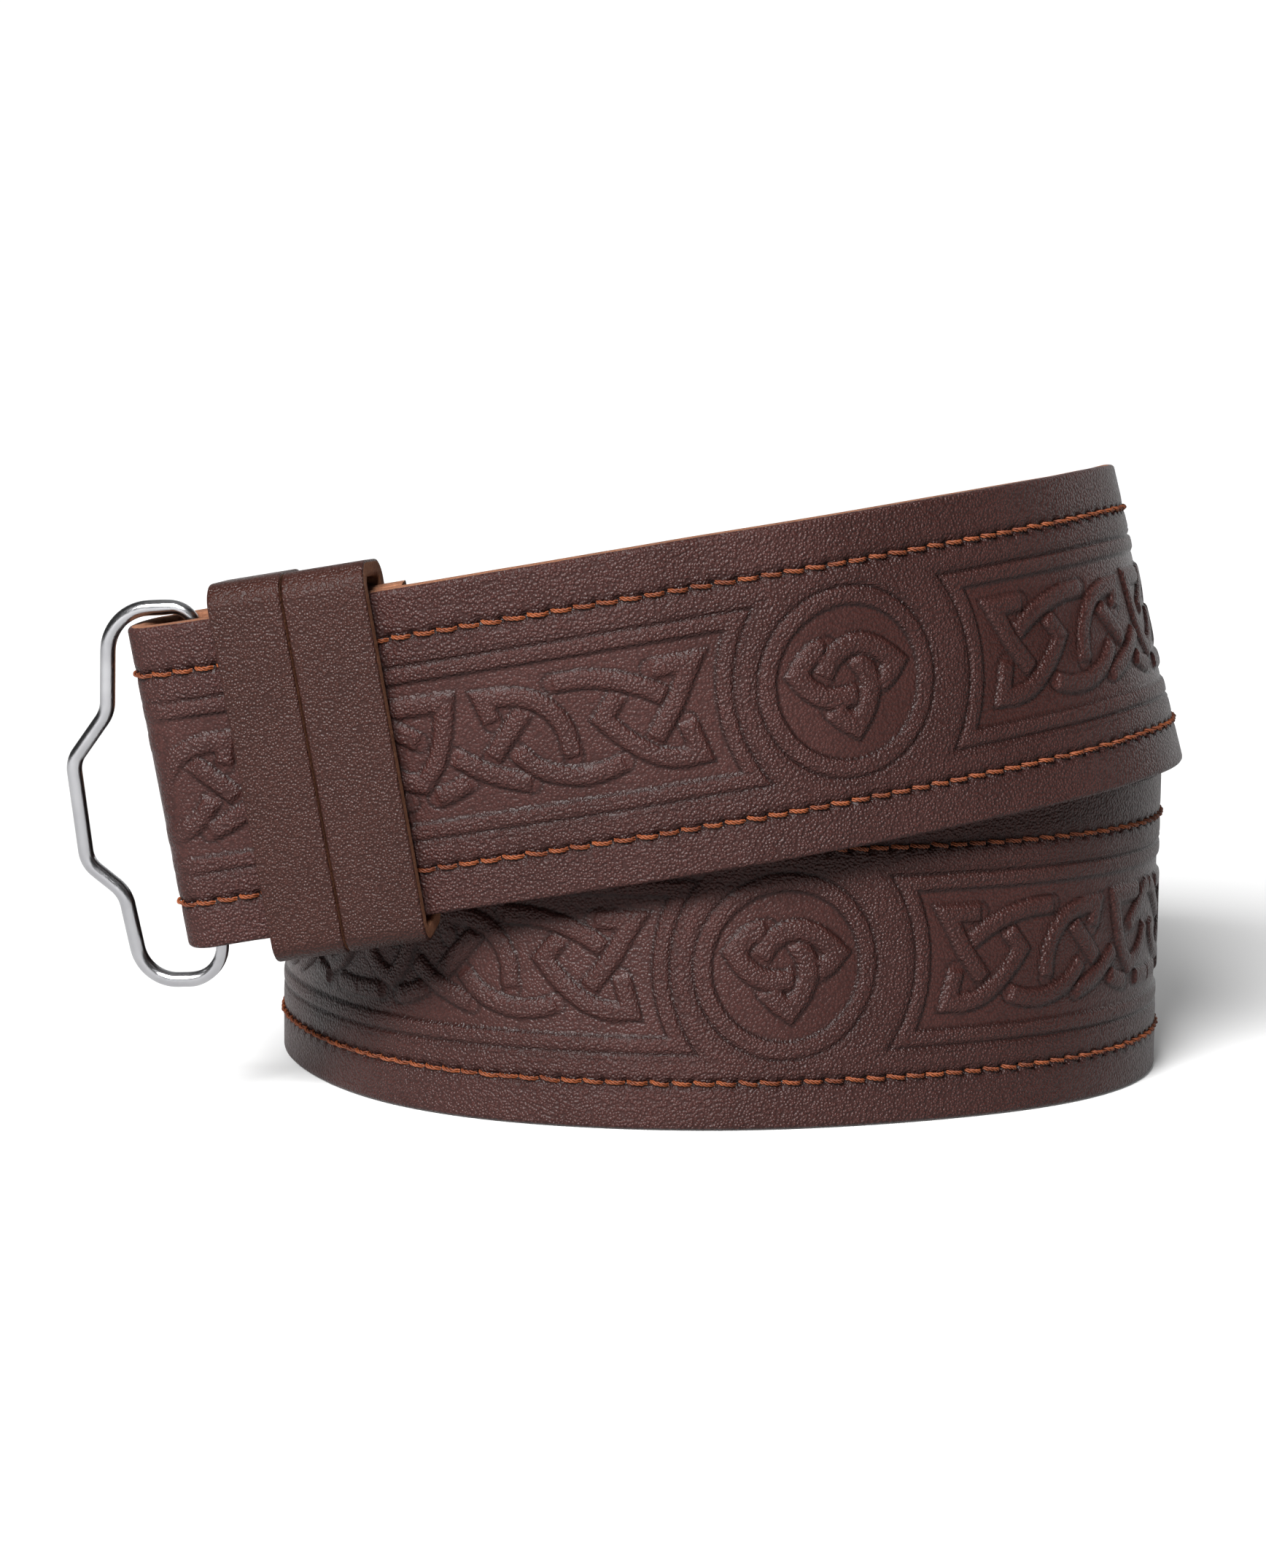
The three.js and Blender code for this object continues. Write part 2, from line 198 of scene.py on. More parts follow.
# Cords of the three-cornered knot, counted from the roundel's middle
KNOT_CORDS = [
    [[(-4.7, 1.6), (-3.0, 4.2), (-0.7, 5.8), (2.3, 6.4), (5.2, 5.4), (7.4, 3.8), (9.2, 2.1)],
     [(9.2, 2.1), (7.7, 0.3), (5.4, -1.2)]],
    [[(-3.7, 6.6), (-6.3, 5.8), (-8.0, 4.3), (-9.3, 2.6)],
     [(-9.3, 2.6), (-7.8, 0.4), (-5.7, -1.4), (-2.9, -2.4), (1.4, -2.2)]],
    [[(1.8, 4.0), (3.6, 1.0), (3.9, -1.8), (2.7, -5.0), (0.6, -7.8)],
     [(0.6, -7.8), (-1.5, -6.3), (-3.6, -4.2)]],
]

# How undyed the leather is, where 1 is raw: at the end of a bevelled edge and at the strap's cut end
DYED_BEVEL = 0.5
CUT_END_RAWNESS = 0.6

# Stitching
# How strongly the stitch pits get painted shade
PIT_PAINTED_SHADE = 1.6
STITCH_ROW = 20.35
STITCH_PITCH = 3.9
HOLE_RADIUS = 0.75
HOLE_DEPTH = 0.85
PULL_WIDTH = 1.1
PULL_DEPTH = 0.16
STITCH_SHARE = 0.86
STITCH_SLANT = 0.2
STITCH_SUNK = -1.0
STITCH_RISE = 1.2
STITCH_FLATNESS = 3.0
STITCH_STEPS = 17
THREAD_SIDES = 5
THREAD_STRANDS = 3
THREAD_STRAND = 0.17
THREAD_OFFSET = 0.24
THREAD_TWIST = 2.5


# Curves through a table's rows, worked out as the solids do

def smoothstep(value, low, high):
    t = np.clip((value - low) / (high - low), 0, 1)
    return t * t * (3 - 2 * t)


def easy_slopes(xs, ys):
    """Slopes of the smoothest curve through the points, with free ends."""
    count = len(xs)
    matrix = np.zeros((count, count))
    right = np.zeros(count)
    for i in range(count):
        if i > 0:
            before = 1 / (xs[i] - xs[i - 1])
            matrix[i, i - 1] = before
            matrix[i, i] += 2 * before
            right[i] += 3 * (ys[i] - ys[i - 1]) * before ** 2
        if i < count - 1:
            after = 1 / (xs[i + 1] - xs[i])
            matrix[i, i + 1] = after
            matrix[i, i] += 2 * after
            right[i] += 3 * (ys[i + 1] - ys[i]) * after ** 2
    return np.linalg.solve(matrix, right)


def steady_slopes(xs, ys):
    """Slopes of a curve that never passes beyond the values of its points."""
    grade = np.diff(ys) / np.diff(xs)
    before = np.concatenate([grade[:1], grade])
    after = np.concatenate([grade, grade[-1:]])
    product = before * after
    total = np.where(product > 0, before + after, 1)
    return np.where(product > 0, 2 * product / total, 0)


def curve_through(column, slopes_of):
    xs = BELT_LIE[:, 0]
    ys = BELT_LIE[:, column]
    slopes = slopes_of(xs, ys)

    def value(x):
        i = np.clip(np.searchsorted(xs, x) - 1, 0, len(xs) - 2)
        span = xs[i + 1] - xs[i]
        t = (x - xs[i]) / span
        return ((2 * t ** 3 - 3 * t ** 2 + 1) * ys[i] + (t ** 3 - 2 * t ** 2 + t) * span * slopes[i]
                + (3 * t ** 2 - 2 * t ** 3) * ys[i + 1] + (t ** 3 - t ** 2) * span * slopes[i + 1])

    return value


def unit(vectors):
    return vectors / np.linalg.norm(vectors, axis=-1, keepdims=True)


# The strap's route: the middle of its outer face, with the directions along, across and out

radius_share = curve_through(1, easy_slopes)
layer_count = curve_through(2, steady_slopes)
rise_share = curve_through(3, steady_slopes)
lean_angle = curve_through(4, steady_slopes)


def route_point(turn):
    radius = COIL_RADIUS * radius_share(turn) + layer_count(turn) * (STRAP_THICKNESS + LAYER_GAP)
    angle = np.radians(turn)
    height = STRAP_WIDTH * (0.5 + rise_share(turn))
    return np.stack([radius * np.sin(angle), -radius * np.cos(angle), height], -1)


route_turns = np.arange(BELT_LIE[0, 0], BELT_LIE[-1, 0] + 1.0)
route_steps = np.linalg.norm(np.diff(route_point(route_turns), axis=0), axis=1)
route_reach = np.concatenate([[0.0], np.cumsum(route_steps)])
ROUTE_LENGTH = route_reach[-1]


def route_frame(distance):
    """Point, along, across and out at distances along the route."""
    distance = np.atleast_1d(np.asarray(distance, float))
    turn = np.interp(distance, route_reach, route_turns)
    point = route_point(turn)
    along = unit(route_point(turn + 0.5) - route_point(turn - 0.5))
    level = unit(np.stack([along[:, 1], -along[:, 0], np.zeros(len(turn))], -1))
    upright = np.cross(level, along)
    lean = np.radians(lean_angle(turn))[:, None]
    skew = FOLD_SKEW * (1 - smoothstep(distance, 0, FOLD_SKEW_END))[:, None]
    across = upright * np.cos(lean) + level * np.sin(lean) + along * skew
    out = level * np.cos(lean) - upright * np.sin(lean)
    return point, along, across, out


# The folded buckle end

POCKET_HEIGHT = 2 * WIRE_RADIUS + POCKET_ROOM
NOSE_RADIUS = STRAP_THICKNESS + POCKET_HEIGHT / 2
BAR_SWAY = (STRAP_WIDTH / 2) * math.tan(BAR_TILT)
BAR_MIDDLE = STRAP_THICKNESS + BAR_PLAY + WIRE_RADIUS + BAR_SWAY
POCKET_END = BAR_MIDDLE + BAR_SWAY + WIRE_RADIUS + BAR_ROOM
NOSE_LENGTH = math.pi * NOSE_RADIUS
KEEPER_LEFT_START = POCKET_END + KEEPER_CLEAR
KEEPER_SEAM = KEEPER_LEFT_START + KEEPER_LEFT_WIDTH + KEEPER_GAP / 2


def lap_depth(distance):
    closing = smoothstep(distance, POCKET_END, POCKET_END + POCKET_TAPER)
    return 2 * STRAP_THICKNESS + POCKET_HEIGHT + (LAP_GAP - POCKET_HEIGHT) * closing


def strap_stations(reach):
    """Point, across and face direction at lengths along the strap's outer face.

    Lengths under NOSE_RADIUS lie on the nose, and those before it on the folded-back layer.
    """
    reach = np.asarray(reach, float)
    nose_start = NOSE_RADIUS - NOSE_LENGTH
    on_face = reach >= NOSE_RADIUS
    on_lap = reach < nose_start
    on_nose = ~on_face & ~on_lap
    point = np.zeros((len(reach), 3))
    across = np.zeros((len(reach), 3))
    face = np.zeros((len(reach), 3))
    if on_face.any():
        point[on_face], _, across[on_face], face[on_face] = route_frame(reach[on_face])
    if on_nose.any():
        centre, along, side, out = route_frame(np.full(on_nose.sum(), NOSE_RADIUS))
        angle = ((NOSE_RADIUS - reach[on_nose]) / NOSE_RADIUS)[:, None]
        face[on_nose] = out * np.cos(angle) - along * np.sin(angle)
        point[on_nose] = centre - out * NOSE_RADIUS + face[on_nose] * NOSE_RADIUS
        across[on_nose] = side
    if on_lap.any():
        distance = NOSE_RADIUS + (nose_start - reach[on_lap])
        centre, along, side, out = route_frame(distance)
        depth = lap_depth(distance)
        slope = (lap_depth(distance + 0.5) - lap_depth(distance - 0.5))[:, None]
        slant = LAP_SLANT * ((distance - NOSE_RADIUS) / (LAP_LENGTH - NOSE_RADIUS))[:, None]
        face[on_lap] = unit(-out - along * slope)
        point[on_lap] = centre - out * depth[:, None]
        across[on_lap] = side + along * slant
    return point, across, face


LAP_REACH = NOSE_RADIUS - NOSE_LENGTH - (LAP_LENGTH - NOSE_RADIUS)


def shift_to_frame():
    """From the coil's middle to the frame's origin, found from the strap's own box."""
    reach = np.concatenate([np.linspace(LAP_REACH, NOSE_RADIUS, 120),
                            np.linspace(NOSE_RADIUS, ROUTE_LENGTH, 1500)])
    point, across, face = strap_stations(reach)
    half = STRAP_WIDTH / 2
    corners = np.concatenate([point + across * u - face * w
                              for u in (-half, -half + EDGE_ROUND, half - EDGE_ROUND, half)
                              for w in (EDGE_ROUND, STRAP_THICKNESS - EDGE_ROUND, 0.0)])
    low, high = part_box("strap")
    right = high.x / MM - corners[:, 0].max()
    back = high.y / MM - corners[:, 1].max()
    return np.array([right, back, 0.0])


SHIFT = shift_to_frame()


# Cords and lines of the ornament as a height over the strap's face

def smooth_run(points, step=0.35):
    """Points close together on a smooth curve through the given ones."""
    given = np.array(points, float)
    if len(given) == 2:
        count = max(2, int(np.linalg.norm(given[1] - given[0]) / step))
        return given[0] + (given[1] - given[0]) * np.linspace(0, 1, count)[:, None]
    padded = np.vstack([2 * given[0] - given[1], given, 2 * given[-1] - given[-2]])
    dense = []
    for i in range(1, len(padded) - 2):
        a, b, c, d = padded[i - 1:i + 3]
        count = max(2, int(np.linalg.norm(c - b) / step))
        t = np.linspace(0, 1, count, endpoint=False)[:, None]
        dense.append(0.5 * (2 * b + (c - a) * t + (2 * a - 5 * b + 4 * c - d) * t ** 2
                            + (3 * b - a - 3 * c + d) * t ** 3))
    return np.vstack(dense + [given[-1:]])


def cord_line(runs):
    line = [smooth_run(run) for run in runs]
    return np.vstack([part[:-1] for part in line[:-1]] + [line[-1]])


def cord_reach(line, half, s, u):
    """At points near a cord: how far it stands up, how near its outline is, and to its body.

    The body is the cord without its two ends, which pass under other cords.
    """
    start = line[:-1]
    step = np.diff(line, axis=0)
    length = np.linalg.norm(step, axis=1)
    heading = step / length[:, None]
    offset = np.stack([s, u], -1)[:, None, :] - start[None]
    forward = (offset * heading[None]).sum(-1)
    sideways = np.abs(offset[..., 0] * heading[None, :, 1] - offset[..., 1] * heading[None, :, 0])
    clamped = np.clip(forward, 0, length[None])
    distance = np.hypot(sideways, forward - clamped)
    best = distance.argmin(1)
    rows = np.arange(len(s))
    reached = np.concatenate([[0.0], np.cumsum(length)])
    place = reached[best] + clamped[rows, best]
    past_end = forward[rows, best] >= length[best]
    before_start = forward[rows, best] <= 0
    neighbour = np.where(past_end, np.minimum(best + 1, len(step) - 1),
                         np.where(before_start, np.maximum(best - 1, 0), best))
    mitred = np.maximum(sideways[rows, best], sideways[rows, neighbour])
    inside = (place > 1e-6) & (place < reached[-1] - 1e-6)
    corner = (past_end | before_start) & inside
    nearest = distance[rows, best]
    nearest = np.where(corner, np.minimum(mitred, nearest), nearest)
    crown = np.sqrt(np.clip(1 - np.clip(nearest / half, 0, 1) ** CORD_FULLNESS, 0, 1))
    end = np.clip(np.minimum(place, reached[-1] - place) / END_ROUND, 0, 1)
    outline = np.exp(-((nearest - half - OUTLINE_OFF) / OUTLINE_WIDTH) ** 2)
    body = (reached[:-1] > UNDER_LENGTH) & (reached[1:] < reached[-1] - UNDER_LENGTH)
    to_body = distance[:, body].min(1) if body.any() else np.full(len(s), FAR_OFF)
    return crown * np.sqrt(end * (2 - end)), outline, to_body


def cords_over(lines_at, half, count):
    """Rise and outline of all cords of a motif, each cut where its end meets another's body."""
    near, fields = [], []
    for line, s, u in lines_at:
        room = half * 2.2
        low, high = line.min(0) - room, line.max(0) + room
        chosen = np.nonzero((s > low[0]) & (s < high[0]) & (u > low[1]) & (u < high[1]))[0]
        near.append(chosen)
        fields.append(cord_reach(line, half, s[chosen], u[chosen]) if len(chosen) else None)
    to_body = np.full((len(fields), count), FAR_OFF)
    for i, field in enumerate(fields):
        if field:
            to_body[i, near[i]] = field[2]
    rise, outline = np.zeros(count), np.zeros(count)
    for i, field in enumerate(fields):
        if not field:
            continue
        others = np.delete(to_body[:, near[i]], i, axis=0).min(0)
        is_under = others < field[2]
        cut = np.where(is_under, smoothstep(others, half, half + CROSSING_GAP), 1.0)
        rise[near[i]] = np.maximum(rise[near[i]], field[0] * cut)
        outline[near[i]] = np.maximum(outline[near[i]], field[1])
    return rise, outline


panel_lines = [cord_line(runs) for runs in PANEL_CORDS]
knot_lines = [cord_line(runs) for runs in KNOT_CORDS]


def ornament(s, u):
    """Height of the pressed ornament, how far it is pressed, and the painted shade in its creases, 0 to 1."""
    height = np.zeros(s.shape)
    pressed = np.zeros(s.shape)
    crease_shade = np.zeros(s.shape)
    first = math.floor((s.min() - FIRST_ROUNDEL) / ORNAMENT_PERIOD) - 1
    last = math.ceil((s.max() - FIRST_ROUNDEL) / ORNAMENT_PERIOD) + 1
    for k in range(first, last + 1):
        middle = FIRST_ROUNDEL + ORNAMENT_PERIOD * k
        add_roundel((height, pressed, crease_shade), s - middle, u)
        add_panel((height, pressed, crease_shade), s - middle - PANEL_AFTER, u)
    faded = smoothstep(s, FOLD_FADE_START, FOLD_FADE_FULL)
    back = smoothstep(s, FOLD_LINES_START, FOLD_LINES_END)
    stretched = 1 - FOLD_STRETCH * faded * (1 - back)
    return height * stretched, pressed, crease_shade * stretched


def add_field(layers, inside, rise, groove):
    """Presses a field down by how far a point is inside it, with its cords standing up."""
    height, pressed, crease_shade = layers
    depth = smoothstep(inside, WALL_START, WALL_END)
    edge = np.exp(-((inside - 0.25) / LINE_WIDTH) ** 2)
    level = -FIELD_DEPTH * depth - 0.1 * edge - FIELD_RIM * groove * depth
    level = level + (FIELD_DEPTH * depth + FIELD_RIM) * rise
    chosen = inside > WALL_START
    height[chosen] = level[chosen]
    pressed[chosen] = (depth * (1 - 0.8 * rise))[chosen]
    # Painted shade along the field's wall line and round the foot of each cord
    crease_shade[chosen] = np.maximum(edge * (1 - rise), groove * depth)[chosen]


def add_band(layers, inside, width):
    """A raised band with a pressed line on its outer side."""
    height, pressed, crease_shade = layers
    line = np.exp(-((inside + 0.05) / LINE_WIDTH) ** 2)
    soft = np.exp(-((inside + 1.05) / LINE_WIDTH) ** 2)
    across = np.clip(inside / width, 0, 1)
    crown = np.sqrt(np.clip(1 - (2 * across - 1) ** 2, 0, 1))
    on_band = (inside > 0) & (inside < width)
    height += -GROOVE_DEPTH * line - FIELD_RIM * soft
    height += np.where(on_band, -0.2 * (1 - crown), 0)
    pressed[:] = np.maximum(pressed, 0.5 * line)
    # Painted shade in the band's pressed lines
    crease_shade[:] = np.maximum(crease_shade, np.maximum(line, 0.3 * soft))


def add_motif(layers, near, inside, width, lines_at, half):
    """One framed motif at the chosen points: its band, then its field with the cords."""
    motif = tuple(np.zeros(inside.shape) for _ in layers)
    add_band(motif, inside, width)
    rise, outline = cords_over(lines_at, half, len(inside))
    add_field(motif, inside - width, rise, outline * (1 - rise))
    layers[0][near] += motif[0]
    for layer, part in zip(layers[1:], motif[1:]):
        layer[near] = np.maximum(layer[near], part)


def add_roundel(layers, d, u):
    near = np.abs(d) < ROUNDEL_OUTER + 4
    if near.any():
        inside = ROUNDEL_OUTER - np.hypot(d[near], u[near])
        lines_at = [(line, d[near], u[near]) for line in knot_lines]
        add_motif(layers, near, inside, ROUNDEL_OUTER - ROUNDEL_INNER, lines_at, KNOT_HALF)


def add_panel(layers, e, u):
    length = 2 * PANEL_HALF
    near = (e > -8) & (e < length + 8)
    if near.any():
        ee, uu = e[near], u[near]
        from_start = np.hypot(ee + PANEL_END_ARC, uu) - PANEL_END_ARC
        from_end = np.hypot(length - ee + PANEL_END_ARC, uu) - PANEL_END_ARC
        inside = np.minimum(np.minimum(from_start, from_end), PANEL_SIDE - np.abs(uu))
        lines_at = [(line, place, uu) for line in panel_lines for place in (ee, length - ee)]
        add_motif(layers, near, inside, BAND_WIDTH, lines_at, CORD_HALF)


def stitch_holes(s, u):
    """Depth of the pits where the thread goes through and of its pull, and the pits with a little of their
    pull line, as the mask of the painted shade in them.
    """
    from_row = np.abs(np.abs(u) - STITCH_ROW)
    from_hole = np.abs((s / STITCH_PITCH + 0.5) % 1 - 0.5) * STITCH_PITCH
    pit = np.exp(-(from_row ** 2 + from_hole ** 2) / HOLE_RADIUS ** 2)
    pull = np.exp(-(from_row / PULL_WIDTH) ** 2)
    return HOLE_DEPTH * pit + PULL_DEPTH * pull, np.maximum(pit, 0.45 * pull)


# Meshes from grids of points

def mesh_object(name, points, quads, caps=(), attributes=None):
    """A closed body from points in millimetres, turned right side out, in the shared frame."""
    corners = points[quads]
    a, b, c, d = (corners[:, i] for i in range(4))
    volume = (np.einsum("ij,ij->i", a, np.cross(b, c)) + np.einsum("ij,ij->i", a, np.cross(c, d))).sum()
    for cap in caps:
        ring = points[cap]
        volume += sum(np.dot(ring[0], np.cross(ring[i], ring[i + 1])) for i in range(1, len(ring) - 1))
    if volume < 0:
        quads = quads[:, ::-1]
        caps = [cap[::-1] for cap in caps]
    placed = (points + SHIFT) * MM
    mesh = bpy.data.meshes.new(name)
    loops = np.concatenate([quads.ravel()] + [np.asarray(cap) for cap in caps]).astype(np.int32)
    sizes = np.array([4] * len(quads) + [len(cap) for cap in caps], np.int32)
    mesh.vertices.add(len(placed))
    mesh.vertices.foreach_set("co", placed.astype(np.float32).ravel())
    mesh.loops.add(len(loops))
    mesh.loops.foreach_set("vertex_index", loops)
    mesh.polygons.add(len(sizes))
    mesh.polygons.foreach_set("loop_start", np.concatenate([[0], np.cumsum(sizes)[:-1]]).astype(np.int32))
    mesh.polygons.foreach_set("use_smooth", sizes == 4)
    for key, values in (attributes or {}).items():
        layer = mesh.attributes.new(key, "FLOAT", "POINT")
        layer.data.foreach_set("value", values.astype(np.float32).ravel())
    mesh.update(calc_edges=True)
    mesh.validate()
    piece = bpy.data.objects.new(name, mesh)
    bpy.context.scene.collection.objects.link(piece)
    return piece


def grid_quads(rows, columns, ring=True, loop=False):
    """Quads between rows of points; ring closes each row, loop joins the last row to the first."""
    i = np.arange(rows if loop else rows - 1)
    j = np.arange(columns if ring else columns - 1)
    ii, jj = np.meshgrid(i, j, indexing="ij")
    here = ii * columns
    there = ((ii + 1) % rows) * columns
    k = (jj + 1) % columns
    return np.stack([here + jj, here + k, there + k, there + jj], -1).reshape(-1, 4)


def strap_section():
    """Across, depth, rawness and face share of the points round the strap's cut section."""
    half = STRAP_WIDTH / 2
    fine = np.arange(-17.6, 17.61, 0.4)
    row = STITCH_ROW + np.array([-1.1, -0.7, -0.4, -0.15, 0.15, 0.4, 0.7, 1.1])
    margin = np.array([18.3, 18.8, 22.3, 23.2, 24.2, 25.3, 26.3, 27.1])
    side = np.concatenate([margin, row])
    face = np.sort(np.concatenate([fine, side, -side]))
    rows = [(u, 0.0, 0.0, 1.0) for u in face]
    for turn in (0.0, 30.0, 60.0, 90.0):
        a = math.radians(turn)
        rows.append((half - EDGE_ROUND + EDGE_ROUND * math.sin(a),
                     EDGE_ROUND - EDGE_ROUND * math.cos(a), DYED_BEVEL * turn / 90.0, 0.0))
    for depth in (1.0, 2.1):
        rows.append((half, depth, 1.0, 0.0))
    for turn in (0.0, 45.0, 90.0):
        a = math.radians(turn)
        rows.append((half - EDGE_ROUND + EDGE_ROUND * math.cos(a),
                     STRAP_THICKNESS - EDGE_ROUND + EDGE_ROUND * math.sin(a), 1.0, 0.0))
    for u in np.linspace(half - 3, -half + 3, 14):
        rows.append((u, STRAP_THICKNESS, 1.0, 0.0))
    for turn in (90.0, 45.0, 0.0):
        a = math.radians(turn)
        rows.append((-half + EDGE_ROUND - EDGE_ROUND * math.cos(a),
                     STRAP_THICKNESS - EDGE_ROUND + EDGE_ROUND * math.sin(a), 1.0, 0.0))
    for depth in (2.1, 1.0):
        rows.append((-half, depth, 1.0, 0.0))
    for turn in (90.0, 60.0, 30.0, 0.0):
        a = math.radians(turn)
        rows.append((-half + EDGE_ROUND - EDGE_ROUND * math.sin(a),
                     EDGE_ROUND - EDGE_ROUND * math.cos(a), DYED_BEVEL * turn / 90.0, 0.0))
    return np.array(rows)


def strap_piece(name, reach):
    """The strap over the given lengths along its outer face, with its ornament pressed in."""
    section = strap_section()
    point, across, face = strap_stations(reach)
    s, u = np.meshgrid(reach, section[:, 0], indexing="ij")
    height, pressed, crease_shade = ornament(s, u)
    pit_depth, pit = stitch_holes(s, u)
    on_face = section[None, :, 3]
    depth = section[None, :, 1] - (height - pit_depth) * on_face
    points = (point[:, None] + across[:, None] * section[None, :, 0, None]
              - face[:, None] * depth[..., None])
    rows, columns = s.shape
    ring = np.arange(columns)
    caps = [ring, (rows - 1) * columns + ring[::-1]]
    raw = np.broadcast_to(section[:, 2], s.shape).copy()
    if reach[0] == LAP_REACH:
        raw[0] = np.maximum(raw[0], CUT_END_RAWNESS)
    # Painted shade for the ornament's creases and the stitch pits goes in with the mesh attributes
    piece = mesh_object(
        name, points.reshape(-1, 3), grid_quads(rows, columns), caps,
        {"raw": raw, "pressed": pressed * on_face,
         "crease_shade": np.maximum(crease_shade, PIT_PAINTED_SHADE * pit) * on_face},
    )
    return piece


BEND_STEPS = 14
WIRE_RUN_STEPS = 8
WIRE_SIDES = 28
KEEPER_RUN_STEPS = 24


def rounded_round(corners, steps_per_bend, steps_per_run):
    """Straight runs and arcs through corner points in a plane, as points with directions."""
    spots, normals, is_run_end = [], [], []
    count = len(corners)
    for i in range(count):
        at = np.array(corners[i][0], float)
        bend = corners[i][1]
        to_back = unit(np.array(corners[i - 1][0], float) - at)
        to_next = unit(np.array(corners[(i + 1) % count][0], float) - at)
        half = math.acos(np.clip(to_back @ to_next, -1, 1)) / 2
        middle = at + unit(to_back + to_next) * (bend / math.sin(half))
        start = at + to_back * (bend / math.tan(half)) - middle
        side = np.sign(to_back[0] * to_next[1] - to_back[1] * to_next[0])
        sweep = -side * (math.pi - 2 * half)
        for j in range(steps_per_bend + 1):
            a = sweep * j / steps_per_bend
            spoke = np.array([start[0] * math.cos(a) - start[1] * math.sin(a),
                              start[0] * math.sin(a) + start[1] * math.cos(a)])
            spots.append(middle + spoke)
            normals.append(unit(spoke) * -side)
            is_run_end.append(j == steps_per_bend)
    points, directions = [], []
    for i, spot in enumerate(spots):
        points.append(spot)
        directions.append(normals[i])
        following = spots[(i + 1) % len(spots)]
        if is_run_end[i]:
            for j in range(1, steps_per_run):
                points.append(spot + (following - spot) * j / steps_per_run)
                directions.append(normals[i])
    return np.array(points), np.array(directions)


def wire_loop():
    """The bent round wire, its straight side lying in the fold as the bar it turns on."""
    point, along, across, out = (value[0] for value in route_frame(BAR_MIDDLE))
    up = across * math.cos(BAR_TILT) + along * math.sin(BAR_TILT)
    away = -along * math.cos(BAR_TILT) + across * math.sin(BAR_TILT)
    drop = LOOP_HEIGHT / 2 - (STRAP_WIDTH / 2 + WIRE_RADIUS + LOOP_REST)
    middle = point - out * NOSE_RADIUS - up * drop
    corners = [((x * LOOP_REACH, y * LOOP_HEIGHT / 2), bend) for x, y, bend in LOOP_CORNERS]
    spots, normals = rounded_round(corners, BEND_STEPS, WIRE_RUN_STEPS)
    angle = np.arange(WIRE_SIDES) * 2 * math.pi / WIRE_SIDES
    centre = middle + spots[:, :1] * away + spots[:, 1:] * up
    flat = normals[:, :1] * away + normals[:, 1:] * up
    fullness = smoothstep(spots[:, 0], BAR_SLIM_END, BAR_FULL_START)
    radius = (WIRE_RADIUS - BAR_SLIMMER * (1 - fullness))[:, None, None]
    points = (centre[:, None] + flat[:, None] * radius * np.cos(angle)[None, :, None]
              + out[None, None] * radius * np.sin(angle)[None, :, None])
    reach = np.concatenate([[0], np.cumsum(np.linalg.norm(np.diff(spots, axis=0), axis=1))])
    piece = mesh_object("wire_loop", points.reshape(-1, 3),
                        grid_quads(len(spots), WIRE_SIDES, loop=True), (),
                        {"along": np.repeat(reach, WIRE_SIDES), "across": np.tile(angle, len(spots))})
    return piece


def keeper_band(name, start, width):
    """A loose band round the strap and its folded-back layer, starting that far along."""
    point, along, across, out = (value[0] for value in route_frame(KEEPER_SEAM))
    point = point + along * (start + width / 2)
    across = across + along * KEEPER_SKEW
    thickest = float(lap_depth(KEEPER_SEAM + start))
    front = KEEPER_FRONT_ROOM + KEEPER_THICKNESS
    back = -(thickest + KEEPER_BACK_ROOM + KEEPER_THICKNESS)
    edge = STRAP_WIDTH / 2 + KEEPER_THICKNESS
    bend = KEEPER_BEND + KEEPER_THICKNESS
    top = edge + KEEPER_TOP_ROOM
    bottom = -(edge + KEEPER_BOTTOM_ROOM)
    back_side = edge + KEEPER_BACK_SIDE_ROOM
    corners = [((top, front), bend), ((bottom, front), bend),
               ((-back_side, back), bend), ((back_side, back), bend)]
    spots, normals = rounded_round(corners, BEND_STEPS, KEEPER_RUN_STEPS)
    round_, thick, half = KEEPER_EDGE_ROUND, KEEPER_THICKNESS, width / 2
    section = [(u, 0.0, 0.0) for u in np.linspace(-half + round_, half - round_, 22)]
    section += [(half - round_ * 0.3, round_ * 0.3, 0.2), (half, round_, DYED_BEVEL)]
    section += [(half, depth, 1.0) for depth in np.linspace(round_, thick - round_, 7)[1:]]
    section += [(u, thick, 1.0) for u in np.linspace(half - round_, -half + round_, 6)]
    section += [(-half, depth, 1.0) for depth in np.linspace(thick - round_, round_, 7)[:-1]]
    section += [(-half, round_, DYED_BEVEL), (-half + round_ * 0.3, round_ * 0.3, 0.2)]
    section = np.array(section)
    centre = point + spots[:, :1] * across + spots[:, 1:] * out
    outward = normals[:, :1] * across + normals[:, 1:] * out
    points = (centre[:, None] + along[None, None] * section[None, :, 0, None]
              - outward[:, None] * section[None, :, 1, None])
    rows, columns = points.shape[:2]
    piece = mesh_object(name, points.reshape(-1, 3), grid_quads(rows, columns, loop=True), (),
                        {"raw": np.tile(section[:, 2], rows), "pressed": np.zeros(rows * columns),
                         "crease_shade": np.zeros(rows * columns)})
    return piece


